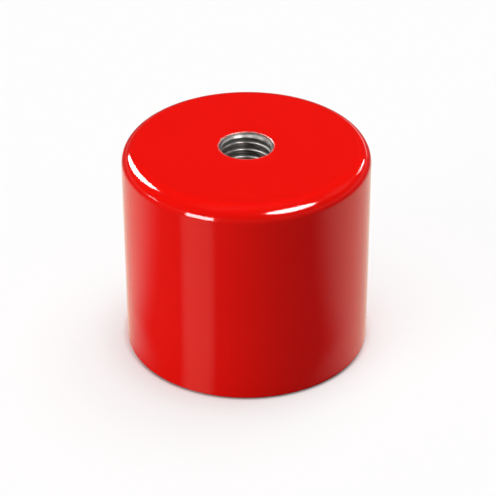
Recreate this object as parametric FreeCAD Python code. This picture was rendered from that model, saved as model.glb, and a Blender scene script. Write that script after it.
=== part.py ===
import FreeCAD, Part
import math
import os

# Deep pot magnet with a tapped hole in its back.
# A turned steel pot, closed at the top, holds a cylindrical magnet core. A non-magnetic ring centres
# the core at the open end, where pot, ring and core are ground to one flat holding face.
# Frame: millimetres, origin at the centre of the holding face, +Z up the axis, out of the tapped hole.

# Outside of the pot
POT_DIAMETER = 45.0
POT_HEIGHT = 39.6
SHOULDER_RADIUS = 3.0
FOOT_CHAMFER = 0.35

# Inside of the pot
WALL_THICKNESS = 5.0
BACK_THICKNESS = 12.0
BORE_CORNER = 1.0

# Tapped hole: coarse right-hand metric thread, drilled and tapped right through the back
THREAD_DIAMETER = 10.0
THREAD_PITCH = 1.5
LEAD_IN_WIDTH = 0.8
THREAD_ENTRY_ANGLE = 54.0

# Magnet core, and the annular gap that keeps it clear of the pot's wall
MAGNETIC_GAP = 4.5
CORE_CHAMFER = 0.8

# Centring ring, bonded into the open end of that gap
RING_DEPTH = 6.0
RING_CHAMFER = 0.5
BOND_GAP = 0.03

# Places that follow from the sizes above
POT_RADIUS = POT_DIAMETER / 2
BORE_RADIUS = POT_RADIUS - WALL_THICKNESS
FLOOR_HEIGHT = POT_HEIGHT - BACK_THICKNESS
CORE_RADIUS = BORE_RADIUS - MAGNETIC_GAP

# The tapping drill is as wide as the thread less one pitch. The groove's flanks stand 60 degrees
# apart, and its root is a flat of an eighth of the pitch.
THREAD_RADIUS = THREAD_DIAMETER / 2
DRILL_RADIUS = (THREAD_DIAMETER - THREAD_PITCH) / 2
FLANK_SLOPE = math.tan(math.radians(30))
ROOT_FLAT = THREAD_PITCH / 8

# How far a cutting tool runs past the face that it cuts
OVERRUN = 0.1

ORIGIN = FreeCAD.Vector(0, 0, 0)
AXIS = FreeCAD.Vector(0, 0, 1)


def at(radius, height):
    """A point of a half section, which lies in the XZ plane."""
    return FreeCAD.Vector(radius, 0, height)


def straight(*points):
    """A straight edge from each point to the next."""
    return [Part.makeLine(start, end) for start, end in zip(points, points[1:])]


def turned(edges):
    """The solid that a closed half section makes when it is turned about the axis."""
    outline = Part.Wire(Part.__sortEdges__(edges))
    return Part.Face(outline).revolve(ORIGIN, AXIS, 360)


def pot_blank():
    """The pot before it is drilled: a deep cup, upside down, with a rounded shoulder."""
    shoulder = at(POT_RADIUS - SHOULDER_RADIUS, POT_HEIGHT - SHOULDER_RADIUS)
    shoulder_start = shoulder + at(SHOULDER_RADIUS, 0)
    shoulder_middle = shoulder + at(SHOULDER_RADIUS, SHOULDER_RADIUS) * math.sqrt(0.5)
    shoulder_end = shoulder + at(0, SHOULDER_RADIUS)
    rounded = [Part.Arc(shoulder_start, shoulder_middle, shoulder_end).toShape()]
    return turned(rounded + straight(
        shoulder_end,
        at(0, POT_HEIGHT),
        at(0, FLOOR_HEIGHT),
        at(BORE_RADIUS - BORE_CORNER, FLOOR_HEIGHT),
        at(BORE_RADIUS, FLOOR_HEIGHT - BORE_CORNER),
        at(BORE_RADIUS, 0),
        at(POT_RADIUS - FOOT_CHAMFER, 0),
        at(POT_RADIUS, FOOT_CHAMFER),
        shoulder_start,
    ))


def tapping_drill():
    """The drill's path through the back. Its wall is four quarter arcs, so that what the thread
    leaves of it, the crest, is a row of short faces and not one face that winds round many times."""
    circle = Part.Circle(at(0, FLOOR_HEIGHT - OVERRUN), AXIS, DRILL_RADIUS)
    corners = [turn * math.pi / 2 for turn in range(5)]
    arcs = [Part.Arc(circle, start, end).toShape() for start, end in zip(corners, corners[1:])]
    return Part.Face(Part.Wire(arcs)).extrude(AXIS * (BACK_THICKNESS + 2 * OVERRUN))


def lead_in():
    """The 90 degree countersink at the mouth of the hole."""
    depth = LEAD_IN_WIDTH + OVERRUN
    base = at(0, POT_HEIGHT - LEAD_IN_WIDTH)
    return Part.makeCone(DRILL_RADIUS, DRILL_RADIUS + depth, depth, base, AXIS)


def thread_groove():
    """The groove that the tap cuts, wound up from under the pot's floor to above its back."""
    inner = DRILL_RADIUS - OVERRUN
    root = ROOT_FLAT / 2
    mouth = root + (THREAD_RADIUS - inner) * FLANK_SLOPE
    corners = [at(THREAD_RADIUS, -root), at(THREAD_RADIUS, root), at(inner, mouth), at(inner, -mouth)]
    profile = Part.makePolygon(corners + corners[:1])
    turns_below = math.ceil(BACK_THICKNESS / THREAD_PITCH) + 1
    winding = []
    for turn in range(turns_below + 1):
        one_turn = Part.makeHelix(THREAD_PITCH, THREAD_PITCH, THREAD_RADIUS)
        one_turn.translate(at(0, turn * THREAD_PITCH))
        winding += one_turn.Edges
    groove = Part.Wire(winding).makePipeShell([profile], True, True)
    groove.translate(at(0, POT_HEIGHT - turns_below * THREAD_PITCH))
    groove.rotate(ORIGIN, AXIS, THREAD_ENTRY_ANGLE)
    return groove


def pot():
    """The steel pot, with its tapped hole."""
    return pot_blank().cut(tapping_drill()).cut(lead_in()).cut(thread_groove())


def magnet_core():
    """The magnet, a plain cylinder chamfered at its inner end, from the holding face to the floor."""
    return turned(straight(
        at(0, 0),
        at(CORE_RADIUS, 0),
        at(CORE_RADIUS, FLOOR_HEIGHT - CORE_CHAMFER),
        at(CORE_RADIUS - CORE_CHAMFER, FLOOR_HEIGHT),
        at(0, FLOOR_HEIGHT),
        at(0, 0),
    ))


def centring_ring():
    """The non-magnetic ring between core and pot, chamfered where it was pushed in first."""
    inner = CORE_RADIUS + BOND_GAP
    outer = BORE_RADIUS - BOND_GAP
    return turned(straight(
        at(inner, 0),
        at(outer, 0),
        at(outer, RING_DEPTH - RING_CHAMFER),
        at(outer - RING_CHAMFER, RING_DEPTH),
        at(inner + RING_CHAMFER, RING_DEPTH),
        at(inner, RING_DEPTH - RING_CHAMFER),
        at(inner, 0),
    ))


PIECES = {
    "pot": pot,
    "magnet_core": magnet_core,
    "centring_ring": centring_ring,
}

os.makedirs("parts", exist_ok=True)
for node, build in PIECES.items():
    build().exportStep(f"parts/{node}.step")
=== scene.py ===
from collections import namedtuple
import math

import bmesh
import bpy
from mathutils import Matrix, Vector

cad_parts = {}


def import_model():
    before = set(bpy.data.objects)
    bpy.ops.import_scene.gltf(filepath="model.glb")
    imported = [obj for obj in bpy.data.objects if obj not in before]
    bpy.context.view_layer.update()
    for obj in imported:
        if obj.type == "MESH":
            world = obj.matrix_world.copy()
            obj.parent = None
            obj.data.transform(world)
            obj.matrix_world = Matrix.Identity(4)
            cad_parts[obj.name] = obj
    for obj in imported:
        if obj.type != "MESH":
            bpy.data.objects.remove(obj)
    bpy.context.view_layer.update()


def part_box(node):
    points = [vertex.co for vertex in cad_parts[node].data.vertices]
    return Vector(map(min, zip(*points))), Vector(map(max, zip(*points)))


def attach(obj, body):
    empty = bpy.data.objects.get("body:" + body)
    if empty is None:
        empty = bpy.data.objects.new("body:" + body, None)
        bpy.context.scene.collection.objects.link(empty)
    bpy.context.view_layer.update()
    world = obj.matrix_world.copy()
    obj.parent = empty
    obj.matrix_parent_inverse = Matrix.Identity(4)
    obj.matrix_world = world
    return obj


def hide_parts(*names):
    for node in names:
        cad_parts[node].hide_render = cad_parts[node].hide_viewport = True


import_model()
MM = 0.001

# Sizes of the pot, in metres
POT_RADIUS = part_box("pot")[1].x
POT_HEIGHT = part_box("pot")[1].z
SHOULDER = 3.0 * MM
FOOT_CHAMFER = 0.12 * MM
BORE_RADIUS = 17.5 * MM
BORE_CORNER = 1.0 * MM
FLOOR_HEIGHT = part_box("magnet_core")[1].z

# Film of lacquer, which sinks a little round the hole and ends there in a bead
FILM = 0.08 * MM
GAP_TO_STEEL = 0.01 * MM
FOOT_CLEARANCE = 0.01 * MM
STEEL_FOOT = FOOT_CHAMFER + FILM * 0.4
FOOT_ROUNDING = 0.1 * MM
SINK_WIDTH = 0.9 * MM
SINK_DEPTH = 0.04 * MM
SINK_EDGE_ROUNDING = 2.0 * MM
SINK_FLOOR_ROUNDING = 0.8 * MM
BEAD_RADIUS = 4.92 * MM
BEAD_WIDTH = 0.4 * MM
BEAD_RISE = 0.01 * MM
BEAD_DEPTH = 0.16 * MM
BEAD_ROUNDING = 0.09 * MM

# Tapped hole, with a shallow recess above its lead-in
LEAD_IN = 0.8 * MM
PITCH = 1.5 * MM
DRILL_RADIUS = 4.25 * MM
THREAD_RADIUS = 5.0 * MM
ROOT_FLAT = PITCH / 8
CREST_ROUNDING = 0.36 * MM
ROOT_ROUNDING = 0.04 * MM
ENTRY_ANGLE = math.radians(54)
RECESS_RADIUS = 4.95 * MM
RECESS_DEPTH = 0.38 * MM
RECESS_FALL = 0.02 * MM
RECESS_EDGE_ROUNDING = 0.06 * MM
RECESS_CORNER_ROUNDING = 0.05 * MM
LEAD_IN_ROUNDING = 0.03 * MM

# Core and centring ring
CORE_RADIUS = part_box("magnet_core")[1].x
CORE_CHAMFER = 0.8 * MM
RING_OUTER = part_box("centring_ring")[1].x
RING_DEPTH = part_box("centring_ring")[1].z
RING_CHAMFER = 0.5 * MM
BOND_GAP = 0.03 * MM
EDGE_BREAK = 0.08 * MM

AXIS = (0, 0, 1)
ORIGIN = (0, 0, 0)

# How finely a full turn and a rounding are divided, where an edge stays sharp, and how near two points
# are one
FINE_STEPS = 256
TURN_STEPS = 96
ROUNDING_SEGMENTS = 32
THREAD_SEGMENTS = 4
SHALLOW_SEGMENTS = 6
SHALLOW_TURN = math.radians(30)
SHARP_EDGE = math.radians(35)
SAME_PLACE = 1e-7


# Turning and tapping

def half_section(bm, corners, closed=True, segments=ROUNDING_SEGMENTS):
    """A half section in the XZ plane. Each corner is (radius, height, rounding). A closed one has no
    edge along the axis itself."""
    verts = [bm.verts.new((radius, 0, height)) for radius, height, rounding in corners]
    ends = verts[1:] + verts[:1] if closed else verts[1:]
    for start, end in zip(verts, ends):
        if start.co.x or end.co.x:
            bm.edges.new((start, end))
    for vert, (radius, height, rounding) in zip(verts, corners):
        if rounding:
            round_corner(bm, vert, rounding, segments)


def round_corner(bm, vert, rounding, segments):
    """Rounds one corner of a half section to a radius. A shallow corner needs few segments."""
    arms = [(edge.other_vert(vert).co - vert.co).normalized() for edge in vert.link_edges]
    half_turn = (math.pi - arms[0].angle(arms[1])) / 2
    bmesh.ops.bevel(
        bm,
        geom=[vert],
        offset=rounding * math.tan(half_turn),
        offset_type="OFFSET",
        affect="VERTICES",
        segments=segments if half_turn > SHALLOW_TURN else SHALLOW_SEGMENTS,
        profile=0.5,
        material=-1,
    )


def turned(name, corners):
    """A piece turned about the Z axis from its closed half section."""
    bm = bmesh.new()
    half_section(bm, corners)
    bmesh.ops.spin(
        bm,
        geom=bm.verts[:] + bm.edges[:],
        cent=ORIGIN,
        axis=AXIS,
        angle=math.tau,
        steps=FINE_STEPS,
        use_merge=True,
    )
    return finished(name, bm)


def finished(name, bm):
    """Closes a mesh, points its faces outwards and puts it in the scene as one piece."""
    bmesh.ops.remove_doubles(bm, verts=bm.verts, dist=SAME_PLACE)
    bmesh.ops.recalc_face_normals(bm, faces=bm.faces)
    mesh = bpy.data.meshes.new(name)
    bm.to_mesh(mesh)
    bm.free()
    piece = bpy.data.objects.new(name, mesh)
    bpy.context.scene.collection.objects.link(piece)
    return piece


def smoothed(piece):
    """Smooth shading that leaves the flats flat and the cut edges sharp."""
    piece.data.shade_smooth()
    piece.data.set_sharp_from_angle(angle=SHARP_EDGE)
    flats = piece.modifiers.new("flat_faces_stay_flat", "WEIGHTED_NORMAL")
    flats.keep_sharp = True
    flats.weight = 100
    return piece


def tap(bottom, top):
    """The shape that the tap leaves open: one pitch of the thread wound up from bottom to top."""
    flank = (THREAD_RADIUS - DRILL_RADIUS) * math.tan(math.radians(30))
    crest = PITCH - ROOT_FLAT - 2 * flank
    bm = bmesh.new()
    half_section(bm, [
        (DRILL_RADIUS, 0, 0),
        (DRILL_RADIUS, crest / 2, CREST_ROUNDING),
        (THREAD_RADIUS, crest / 2 + flank, ROOT_ROUNDING),
        (THREAD_RADIUS, crest / 2 + flank + ROOT_FLAT, ROOT_ROUNDING),
        (DRILL_RADIUS, PITCH - crest / 2, CREST_ROUNDING),
        (DRILL_RADIUS, PITCH, 0),
    ], closed=False, segments=THREAD_SEGMENTS)
    groove_centre = crest / 2 + flank + ROOT_FLAT / 2
    spare_turns = 3
    turns = math.ceil((top - bottom) / PITCH) + spare_turns
    start_height = POT_HEIGHT - groove_centre - (turns - 1) * PITCH
    bmesh.ops.translate(bm, verts=bm.verts, vec=(0, 0, start_height))
    bmesh.ops.rotate(bm, verts=bm.verts, cent=ORIGIN, matrix=Matrix.Rotation(ENTRY_ANGLE, 3, "Z"))
    bmesh.ops.spin(
        bm,
        geom=bm.verts[:] + bm.edges[:],
        cent=ORIGIN,
        axis=AXIS,
        dvec=(0, 0, PITCH / TURN_STEPS),
        angle=math.tau,
        steps=TURN_STEPS,
    )
    one_turn = bm.verts[:] + bm.edges[:] + bm.faces[:]
    for turn in range(1, turns):
        copy = bmesh.ops.duplicate(bm, geom=one_turn)["geom"]
        moved = [part for part in copy if isinstance(part, bmesh.types.BMVert)]
        bmesh.ops.translate(bm, verts=moved, vec=(0, 0, turn * PITCH))
    bmesh.ops.remove_doubles(bm, verts=bm.verts, dist=10 * SAME_PLACE)
    for height, side in ((bottom, -1), (top, 1)):
        cut = bmesh.ops.bisect_plane(
            bm,
            geom=bm.verts[:] + bm.edges[:] + bm.faces[:],
            plane_co=(0, 0, height),
            plane_no=(0, 0, side),
            clear_outer=True,
        )
        rim = [part for part in cut["geom_cut"] if isinstance(part, bmesh.types.BMEdge)]
        bmesh.ops.contextual_create(bm, geom=rim)
    return finished("tap", bm)


def cut_away(piece, cutter):
    """Cuts one shape out of another for good, and takes the cutter away."""
    cut = piece.modifiers.new("cut", "BOOLEAN")
    cut.operation = "DIFFERENCE"
    cut.solver = "EXACT"
    cut.object = cutter
    shape = bpy.data.meshes.new_from_object(piece.evaluated_get(bpy.context.evaluated_depsgraph_get()))
    piece.modifiers.clear()
    piece.data = shape
    bpy.data.objects.remove(cutter)
    return piece


# Shader maths

class Signal:
    """The output of a shader node. Sums and products of it add their own nodes."""

    def __init__(self, tree, socket=None):
        self.tree = tree
        self.socket = socket

    def node(self, kind, settings, inputs, output=0):
        """Any node: its type, its settings, and the values or links of its sockets."""
        made = self.tree.nodes.new(kind)
        for name, value in settings.items():
            if name == "stops":
                set_stops(made.color_ramp, value)
            else:
                setattr(made, name, value)
        for name, value in inputs.items():
            if isinstance(value, Signal):
                self.tree.links.new(value.socket, made.inputs[name])
            else:
                made.inputs[name].default_value = value
        return Signal(self.tree, made.outputs[output]) if made.outputs else None

    def maths(self, operation, *values):
        """A sum, product or the like of some signals and numbers."""
        return self.node("ShaderNodeMath", {"operation": operation}, dict(enumerate(values)))

    def __add__(self, other):
        return self.maths("ADD", self, other)

    def __sub__(self, other):
        return self.maths("SUBTRACT", self, other)

    def __mul__(self, other):
        return self.maths("MULTIPLY", self, other)

    def __truediv__(self, other):
        return self.maths("DIVIDE", self, other)

    def __radd__(self, other):
        return self.maths("ADD", other, self)

    def __rsub__(self, other):
        return self.maths("SUBTRACT", other, self)

    def __rmul__(self, other):
        return self.maths("MULTIPLY", other, self)

    def between(self, low, high):
        """0 below low, 1 above high, and smooth from one to the other."""
        settings = {"interpolation_type": "SMOOTHSTEP"}
        return self.node("ShaderNodeMapRange", settings, {"Value": self, 1: low, 2: high})


def set_stops(ramp, stops):
    """Sets a colour ramp's stops, each a place and a colour."""
    while len(ramp.elements) < len(stops):
        ramp.elements.new(0.5)
    for element, (place, colour) in zip(ramp.elements, stops):
        element.position = place
        element.color = (*colour, 1)


def blank_material(name):
    """A material with no nodes, and the signal that its nodes are made from."""
    material = bpy.data.materials.new(name)
    material.use_nodes = True
    material.node_tree.nodes.clear()
    return material, Signal(material.node_tree)


def shade(material, start, inputs):
    """Ends a material in a Principled shader."""
    surface = start.node("ShaderNodeBsdfPrincipled", {}, inputs)
    start.node("ShaderNodeOutputMaterial", {}, {"Surface": surface})
    return material


def parts_of(start, where):
    """The X, Y and Z of a place."""
    parts = start.tree.nodes.new("ShaderNodeSeparateXYZ")
    start.tree.links.new(where.socket, parts.inputs[0])
    return [Signal(start.tree, parts.outputs[axis]) for axis in "XYZ"]


Spot = namedtuple("Spot", "where x y z radius")


def spot_on_piece(start):
    """The place on the piece, with its parts and its distance from the axis."""
    where = start.node("ShaderNodeTexCoord", {}, {}, "Object")
    x, y, z = parts_of(start, where)
    return Spot(where, x, y, z, start.maths("SQRT", x * x + y * y))


def noise(where, size, detail=2.0, stretch=(1, 1, 1)):
    """Soft random grain, with spots of about the given size in metres."""
    scale = [part / size for part in stretch]
    scaled = where.node("ShaderNodeMapping", {}, {"Vector": where, "Scale": scale})
    return where.node("ShaderNodeTexNoise", {}, {"Vector": scaled, "Scale": 1.0, "Detail": detail})


def rings(along, count):
    """Turning marks that follow one another along a path, about so many to the metre."""
    return along.node("ShaderNodeTexNoise", {"noise_dimensions": "1D"}, {"W": along, "Scale": count})


def blend(factor, first, second):
    """A colour between two colours."""
    settings = {"data_type": "RGBA"}
    return factor.node("ShaderNodeMix", settings, {0: factor, 6: first, 7: second}, 2)


def bump(height, depth, under=None):
    """Relief of a given depth in metres, on top of any relief below it."""
    inputs = {"Height": height, "Strength": 1.0, "Distance": depth}
    if under:
        inputs["Normal"] = under
    return height.node("ShaderNodeBump", {}, inputs)


# Finishes

RED = (0.83, 0.0055, 0.0028, 1)
DEEP_RED = (0.80, 0.0045, 0.0022, 1)
WORN_EDGE = (0.66, 0.50, 0.46, 1)
DARK_STEEL = (0.40, 0.385, 0.365, 1)
PALE_STEEL = (0.66, 0.645, 0.62, 1)
DARK_ALLOY = (0.24, 0.24, 0.235, 1)
PALE_ALLOY = (0.42, 0.42, 0.41, 1)
PORE = (0.06, 0.06, 0.06, 1)
DARK_BRASS = (0.60, 0.42, 0.17, 1)
PALE_BRASS = (0.80, 0.61, 0.30, 1)

# Where one surface gives way to the next, by distance from the axis or by height
WORN_LIP = (5.02 * MM, 5.12 * MM)
CHIP_REACH = 0.3 * MM
CREST_TO_GROOVE = (4.38 * MM, 4.55 * MM)
GROOVE_TO_LIP = (4.9 * MM, 5.1 * MM)
GROUND_FACE = (0.02 * MM, 0.1 * MM)


def red_lacquer():
    """Sprayed gloss lacquer: a faint ripple, a little dust, and a chipped lip at the hole, where the
    metal shows through."""
    material, start = blank_material("red_lacquer")
    spot = spot_on_piece(start)
    ripple = noise(spot.where, 1.1 * MM, 1.0)
    dust = noise(spot.where, 0.35 * MM, 0.0).between(0.78, 0.86)
    tone = noise(spot.where, 9 * MM, 2.0)
    relief = bump(dust, 0.006 * MM, bump(ripple, 0.003 * MM))
    chips = noise(spot.where, 0.8 * MM, 3.0).between(0.5, 0.8)
    lip = 1 - (spot.radius - chips * CHIP_REACH).between(*WORN_LIP)
    worn = lip * noise(spot.where, 0.5 * MM, 2.0).between(0.3, 0.55)
    return shade(material, start, {
        "Base Color": blend(worn * 0.8, blend(tone, DEEP_RED, RED), WORN_EDGE),
        "Metallic": worn * 0.8,
        "Roughness": tone * 0.06 + 0.4,
        "Specular IOR Level": 0.0,
        "Coat Weight": 1.0,
        "Coat Roughness": 0.08,
        "Coat IOR": 1.35,
        "Normal": relief,
    })


def ground_marks(where):
    """Straight fine marks of the grinding wheel, which run across the whole holding face."""
    fine = noise(where, 0.12 * MM, 3.0, (0.01, 1, 1))
    broad = noise(where, 0.9 * MM, 2.0, (0.03, 1, 1))
    return fine * 0.7 + broad * 0.3


def cut_steel():
    """Bare steel: turned in the hole, a little rougher in the thread's groove, and ground on the
    holding face."""
    material, start = blank_material("cut_steel")
    spot = spot_on_piece(start)
    face = 1 - spot.z.between(*GROUND_FACE)
    along = spot.z + spot.radius * 0.4
    fine_rings, broad_rings = rings(along, 16000.0), rings(along, 4500.0)
    turning = fine_rings * 0.4 + broad_rings * 0.4 + noise(spot.where, 0.3 * MM, 2.0) * 0.2
    marks = face * ground_marks(spot.where) + (1 - face) * turning
    stain = noise(spot.where, 2.2 * MM, 3.0)
    groove = spot.radius.between(*CREST_TO_GROOVE) * (1 - spot.radius.between(*GROOVE_TO_LIP))
    return shade(material, start, {
        "Base Color": blend(stain * 0.6 + marks * 0.4, DARK_STEEL, PALE_STEEL),
        "Metallic": 1.0,
        "Roughness": marks * 0.16 + groove * 0.08 + 0.14,
        "Normal": bump(marks, 0.003 * MM),
    })


def magnet_alloy():
    """Cast magnet alloy: grey, with small pores, ground at the holding face."""
    material, start = blank_material("magnet_alloy")
    spot = spot_on_piece(start)
    face = 1 - spot.z.between(*GROUND_FACE)
    grain = noise(spot.where, 0.4 * MM, 4.0)
    pores = noise(spot.where, 0.3 * MM, 1.0).between(0.72, 0.78)
    marks = face * ground_marks(spot.where) + (1 - face) * grain
    return shade(material, start, {
        "Base Color": blend(pores, blend(marks, DARK_ALLOY, PALE_ALLOY), PORE),
        "Metallic": 1.0,
        "Roughness": 0.55 - face * 0.2 + marks * 0.12,
        "Normal": bump(marks - pores * 2, 0.006 * MM),
    })


def ring_brass():
    """Turned brass, ground at the holding face with the steel."""
    material, start = blank_material("ring_brass")
    spot = spot_on_piece(start)
    face = 1 - spot.z.between(*GROUND_FACE)
    marks = face * ground_marks(spot.where) + (1 - face) * noise(spot.where, 0.3 * MM, 3.0)
    return shade(material, start, {
        "Base Color": blend(marks, DARK_BRASS, PALE_BRASS),
        "Metallic": 1.0,
        "Roughness": marks * 0.2 + 0.2,
        "Normal": bump(marks, 0.004 * MM),
    })


# Pieces

def lacquer_coat():
    """The film of lacquer on the outside of the pot, from the foot over the shoulder to the bead on
    the edge of the hole, and back along the steel under it."""
    top = POT_HEIGHT
    steel = POT_RADIUS - FILM
    return turned("lacquer_coat", [
        (POT_RADIUS - FOOT_CHAMFER, FOOT_CLEARANCE, 0),
        (POT_RADIUS, FOOT_CHAMFER, FOOT_ROUNDING),
        (POT_RADIUS, top, SHOULDER),
        (BEAD_RADIUS + SINK_WIDTH, top, SINK_EDGE_ROUNDING),
        (BEAD_RADIUS + BEAD_WIDTH, top - SINK_DEPTH, SINK_FLOOR_ROUNDING),
        (BEAD_RADIUS, top + BEAD_RISE, BEAD_ROUNDING),
        (BEAD_RADIUS, top - BEAD_DEPTH, 0),
        (RECESS_RADIUS + GAP_TO_STEEL, top - BEAD_DEPTH, 0),
        (RECESS_RADIUS + GAP_TO_STEEL + RECESS_EDGE_ROUNDING, top - FILM, 0),
        (steel, top - FILM, SHOULDER - FILM),
        (steel, STEEL_FOOT, 0),
        (steel - FOOT_CHAMFER, FOOT_CLEARANCE, 0),
    ])


def steel_body():
    """The pot itself, in steel: turned, drilled right through its back and tapped. Its hole starts with
    a shallow recess and a 45 degree lead-in."""
    top = POT_HEIGHT - FILM
    steel = POT_RADIUS - FILM
    recess_floor = POT_HEIGHT - RECESS_DEPTH
    lead_in_top = recess_floor - RECESS_FALL
    lead_in_radius = DRILL_RADIUS + LEAD_IN - RECESS_DEPTH
    left_for_tap = 1.0 * MM
    narrow = DRILL_RADIUS - left_for_tap
    body = turned("steel_body", [
        (steel, STEEL_FOOT, 0),
        (steel, top, SHOULDER - FILM),
        (RECESS_RADIUS, top, RECESS_EDGE_ROUNDING),
        (RECESS_RADIUS, recess_floor, RECESS_CORNER_ROUNDING),
        (lead_in_radius, lead_in_top, LEAD_IN_ROUNDING),
        (narrow, lead_in_top - (lead_in_radius - narrow), 0),
        (narrow, FLOOR_HEIGHT, 0),
        (BORE_RADIUS, FLOOR_HEIGHT, BORE_CORNER),
        (BORE_RADIUS, 0, EDGE_BREAK),
        (steel - FOOT_CHAMFER, 0, 0),
    ])
    return cut_away(body, tap(FLOOR_HEIGHT - PITCH, POT_HEIGHT + PITCH))


def alloy_core():
    """The magnet core, seated on the pot's floor."""
    return turned("alloy_core", [
        (0, 0, 0),
        (CORE_RADIUS, 0, EDGE_BREAK),
        (CORE_RADIUS, FLOOR_HEIGHT - CORE_CHAMFER, 0),
        (CORE_RADIUS - CORE_CHAMFER, FLOOR_HEIGHT, 0),
        (0, FLOOR_HEIGHT, 0),
    ])


def spacer_ring():
    """The brass ring that centres the core."""
    inner = CORE_RADIUS + BOND_GAP
    return turned("spacer_ring", [
        (inner, 0, EDGE_BREAK),
        (RING_OUTER, 0, EDGE_BREAK),
        (RING_OUTER, RING_DEPTH - RING_CHAMFER, 0),
        (RING_OUTER - RING_CHAMFER, RING_DEPTH, 0),
        (inner + RING_CHAMFER, RING_DEPTH, 0),
        (inner, RING_DEPTH - RING_CHAMFER, 0),
    ])


# Groups that a lamp can be kept to
LACQUERED = bpy.data.collections.new("lacquered")
BARE = bpy.data.collections.new("bare")
ALL_OF_POT = bpy.data.collections.new("all_of_pot")
PAPER = bpy.data.collections.new("paper")

PIECES = (
    (lacquer_coat, red_lacquer, "red_paint", "pot", LACQUERED),
    (steel_body, cut_steel, "bare_steel", "pot", BARE),
    (alloy_core, magnet_alloy, "magnet_alloy", "magnet_core", BARE),
    (spacer_ring, ring_brass, "brass", "centring_ring", BARE),
)
for make, finish, slot, node, surface in PIECES:
    piece = smoothed(make())
    piece.data.materials.clear()
    piece.data.materials.append(finish())
    surface.objects.link(piece)
    ALL_OF_POT.objects.link(piece)
    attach(piece, "root")
    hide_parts(node)


# Floor and sky

def direction(azimuth, elevation):
    """Away from the pot: azimuth 0 is towards the camera and positive is to its right, in degrees."""
    turn, rise = math.radians(azimuth), math.radians(elevation)
    return Vector((math.sin(turn) * math.cos(rise), -math.cos(turn) * math.cos(rise), math.sin(rise)))


# Parts of the paper, by distance from the pot's axis. The contact line is a painted shadow, and the two
# shadow ranges fade the paper's white near the pot, a painted shade on top of the lamps' real shadow
PAINTED_CONTACT_LINE = (22.6 * MM, 23.2 * MM)
NEAR_SHADOW = (22.6 * MM, 23.8 * MM)
WIDE_SHADOW = (22 * MM, 31 * MM)
FOOT_GLOSS = (23 * MM, 34 * MM)
END_OF_GLOSS = (90 * MM, 130 * MM)
FAR_PAPER = (160 * MM, 600 * MM)

# Painted reflection: what the gloss of the pot shows of the paper, set by place on the paper, dark on one
# side, with one white streak through it
DARK_SIDE = direction(-10, 0)
DARK_SIDE_EDGES = (-0.15, 0.5)
STREAK = direction(-46, 0)
STREAK_EDGES = (0.945, 0.997)
STREAK_START = Vector((-1.4 * MM, -13.5 * MM, 0))

# The paper's own white, and the tint of its painted reflection in the pot's gloss
WHITE = (1, 1, 1, 1)
PAINTED_REFLECTION_TINT = (1, 0.95, 0.72, 1)


def larger(first, second):
    """The larger of two signals."""
    return first.maths("MAXIMUM", first, second)


def painted_reflection(spot):
    """A painted reflection: where the gloss shows the paper as white, beside and behind the pot, further
    round close to its foot, and in one streak at its front left."""
    near_foot = 1 - spot.radius.between(*FOOT_GLOSS)
    front = (spot.x * DARK_SIDE.x + spot.y * DARK_SIDE.y) / spot.radius - near_foot * 0.35
    from_x, from_y = spot.x - STREAK_START.x, spot.y - STREAK_START.y
    from_start = from_x.maths("SQRT", from_x * from_x + from_y * from_y)
    streak = (from_x * STREAK.x + from_y * STREAK.y) / from_start
    white = larger(1 - front.between(*DARK_SIDE_EDGES), streak.between(*STREAK_EDGES))
    return white * (1 - spot.radius.between(*END_OF_GLOSS))


def floor_paper():
    """White paper. The camera sees all of it near its full white, with the pot's shadow on it, partly cast
    by the lamps and partly painted shade where its white fades near the foot, a painted dark contact shadow
    at the front of the foot, and a painted reflection where the pot's gloss sees it."""
    material, start = blank_material("floor_paper")
    spot = spot_on_piece(start)
    rays = start.tree.nodes.new("ShaderNodeLightPath").outputs
    camera_ray, glossy_ray, transmission_ray = (
        Signal(start.tree, rays[kind]) for kind in ("Is Camera Ray", "Is Glossy Ray", "Is Transmission Ray"))
    mirror_ray = larger(glossy_ray, transmission_ray)
    painted_reflection_white = mirror_ray * painted_reflection(spot)
    seen = larger(camera_ray, painted_reflection_white)
    # Painted contact shadow: the paper's grey is darkened in a thin ring at the foot, on the camera's side
    # only
    towards_camera = (spot.y / spot.radius * -1).between(0.2, 0.7)
    painted_contact_shadow = (1 - spot.radius.between(*PAINTED_CONTACT_LINE)) * towards_camera
    # For gloss rays the paper is greyer outside its painted white, a painted dark reflection
    grey = (seen * 0.6 + 0.3 - (mirror_ray - painted_reflection_white) * 0.2) * (1 - painted_contact_shadow * 0.6)
    paper = start.node("ShaderNodeBsdfDiffuse", {}, {"Color": grey})
    tint = blend(painted_reflection_white, WHITE, PAINTED_REFLECTION_TINT)
    white = start.node("ShaderNodeEmission", {}, {"Color": tint, "Strength": 1.0})
    # Painted shade round the foot: the paper's own white fades out near the pot by distance, so the paper
    # darkens there beyond what the lamps' shadow gives
    clear_of_painted_shade = spot.radius.between(*NEAR_SHADOW) * 0.6 + spot.radius.between(*WIDE_SHADOW) * 0.4
    share = (0.66 - spot.radius.between(*FAR_PAPER) * 0.36) * larger(clear_of_painted_shade, painted_reflection_white)
    mixed = start.node("ShaderNodeMixShader", {}, {0: seen * share, 1: paper, 2: white})
    start.node("ShaderNodeOutputMaterial", {}, {"Surface": mixed})
    return material


def floor():
    """A round sheet of paper, far wider than any view."""
    bm = bmesh.new()
    bmesh.ops.create_circle(bm, cap_ends=True, segments=64, radius=6.0)
    sheet = finished("floor", bm)
    sheet.data.materials.append(floor_paper())
    PAPER.objects.link(sheet)


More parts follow.
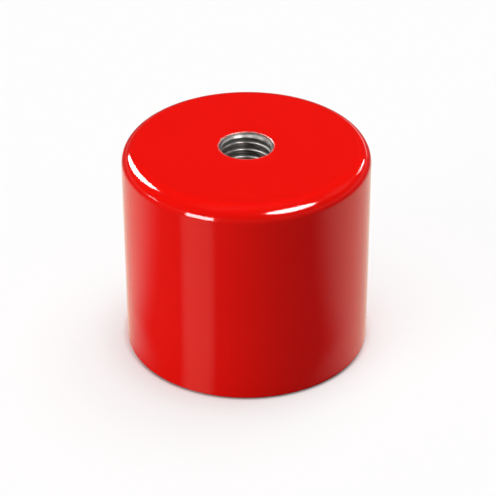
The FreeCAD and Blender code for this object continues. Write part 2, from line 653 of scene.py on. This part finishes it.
def world():
    """Pale at the horizon and dark overhead."""
    sky = bpy.data.worlds.new("studio")
    bpy.context.scene.world = sky
    sky.use_nodes = True
    sky.node_tree.nodes.clear()
    start = Signal(sky.node_tree)
    where = start.node("ShaderNodeTexCoord", {}, {}, "Generated")
    rise = parts_of(start, where)[2]
    greys = ((0.0, 0.5), (0.03, 0.5), (0.12, 0.05), (1.0, 0.02))
    stops = [(height, (grey, grey, grey)) for height, grey in greys]
    shades = start.node("ShaderNodeValToRGB", {"stops": stops}, {"Fac": rise})
    light = start.node("ShaderNodeBackground", {}, {"Color": shades, "Strength": 1.0})
    start.node("ShaderNodeOutputWorld", {}, {"Surface": light})


# Lamps

LAMP_DISTANCE = 4.0


def area_lamp(name, shape, size, where, away, turn=0):
    """An area lamp that faces back along the way that leads to it. The camera doesn't see it."""
    light = bpy.data.lights.new(name, "AREA")
    light.shape = shape
    light.size, light.size_y = size
    lamp = bpy.data.objects.new(name, light)
    bpy.context.scene.collection.objects.link(lamp)
    facing = away.to_track_quat("Z", "Y").to_matrix().to_4x4()
    turned_in_place = Matrix.Rotation(math.radians(turn), 4, "Z")
    lamp.matrix_world = Matrix.Translation(where) @ facing @ turned_in_place
    lamp.visible_camera = False
    return lamp


def soft_box(name, azimuth, elevation, width, height, turn=0):
    """A far soft box that faces the top of the pot. Its width, height and turn are angles, in degrees."""
    away = direction(azimuth, elevation)
    where = away * LAMP_DISTANCE + Vector((0, 0, POT_HEIGHT))
    size = [2 * LAMP_DISTANCE * math.tan(math.radians(angle / 2)) for angle in (width, height)]
    return area_lamp(name, "ELLIPSE", size, where, away, turn)


def fill_box(name, azimuth, elevation, width, height, level, pieces=None):
    """A soft box that gives even light and no highlight, to everything or to some pieces only. At
    level 1 a white card facing it renders white."""
    box = soft_box(name, azimuth, elevation, width, height)
    box.light_linking.receiver_collection = pieces
    box.data.energy = 4 * math.pi * LAMP_DISTANCE ** 2 * level
    box.visible_glossy = False


def highlight(lamp, area, brightness, pieces):
    """Lets a lamp show as a highlight only, and only on some pieces. Brightness 1 is as bright as
    white paper."""
    lamp.data.energy = 4 * area * brightness
    lamp.visible_diffuse = False
    lamp.light_linking.receiver_collection = pieces


def gloss_box(name, azimuth, elevation, width, height, turn, on_lacquer, on_metal):
    """A far soft box, with its own brightness for lacquer and for bare metal."""
    for pieces, brightness in ((LACQUERED, on_lacquer), (BARE, on_metal)):
        if brightness:
            box = soft_box(name, azimuth, elevation, width, height, turn)
            highlight(box, math.pi / 4 * box.data.size * box.data.size_y, brightness, pieces)


def card(name, azimuth, reach, width, height, on_lacquer, on_metal):
    """A bright card that stands on the floor near the pot, facing it."""
    away = direction(azimuth, 0)
    where = away * reach + Vector((0, 0, height / 2))
    for pieces, brightness in ((LACQUERED, on_lacquer), (BARE, on_metal)):
        lamp = area_lamp(name, "RECTANGLE", (width, height), where, away)
        highlight(lamp, width * height, brightness, pieces)


def lamps():
    """Fill light for pot and paper, the boxes that the lacquer mirrors, and the glows that only bare
    metal mirrors, which draw the lead-in, the crests and the right half of the thread."""
    fill_box("left_fill", -55, 5, 30, 8, 0.485)
    fill_box("right_fill", 105, 35, 30, 20, 0.51, ALL_OF_POT)
    fill_box("shadow_fill", 145, 68, 40, 40, 0.30, PAPER)
    fill_box("front_fill", -50, 70, 30, 30, 0.39, ALL_OF_POT)
    fill_box("right_shadow_fill", -50, 70, 30, 30, 0.17, PAPER)
    fill_box("even_fill", 0, 88, 100, 100, 0.46, PAPER)
    fill_box("overhead_fill", 120, 80, 40, 40, 0.22)
    gloss_box("back_left_box", -130, 30, 42, 18, 43, 30, 0.8)
    gloss_box("front_right_box", 46, 41, 40, 25, -8, 36, 0)
    gloss_box("left_strip", -88, 1, 11, 9, 0, 9, 0.8)
    gloss_box("back_right_box", 133.5, 17.5, 17, 6, -30, 13, 0)
    gloss_box("back_right_strip", 155, 1, 25, 8, 0, 1, 0.5)
    gloss_box("right_edge_glow", 44, 50, 34, 18, 0, 0, 4.2)
    gloss_box("low_front_glow", 45, 6, 110, 12, 0, 0, 2.0)
    gloss_box("left_glow", -117, 56, 44, 26, 0, 0, 1.4)
    gloss_box("upper_left_glow", -102, 70, 26, 16, 0, 0, 2.5)
    gloss_box("front_glow", -5, 57, 44, 16, 0, 0, 0.9)
    gloss_box("front_left_glow", -56, 46, 66, 24, 0, 0, 0.42)
    gloss_box("upper_front_glow", -66, 70, 40, 12, 0, 0, 1.5)
    gloss_box("right_glow", 120, 18, 60, 30, 0, 0, 0.3)
    gloss_box("right_crest_glow", 94, 33, 50, 12, -29, 0, 1.3)
    card("front_left_card", -38, 170 * MM, 70 * MM, 50 * MM, 26, 3)


# Camera

CAMERA_ELEVATION = 32.391
CAMERA_ROLL = -0.2115
CAMERA_DISTANCE = 386.42 * MM
CAMERA_AIM = Vector((0.234 * MM, 0, 17.80 * MM))
FOCAL_LENGTH = 151.74
SENSOR_WIDTH = 36.0


def camera():
    """The photograph's view: long lens, looking down on the back of the pot."""
    lens = bpy.data.cameras.new("camera")
    lens.lens = FOCAL_LENGTH
    lens.sensor_width = SENSOR_WIDTH
    lens.clip_start = 0.01
    lens.clip_end = 20.0
    eye = bpy.data.objects.new("camera", lens)
    bpy.context.scene.collection.objects.link(eye)
    bpy.context.scene.camera = eye
    place = Matrix.Translation(CAMERA_AIM + direction(0, CAMERA_ELEVATION) * CAMERA_DISTANCE)
    tilt = Matrix.Rotation(math.radians(90 - CAMERA_ELEVATION), 4, "X")
    roll = Matrix.Rotation(math.radians(CAMERA_ROLL), 4, "Z")
    eye.matrix_world = place @ tilt @ roll


floor()
world()
lamps()
camera()
bpy.context.scene.view_settings.view_transform = "Standard"
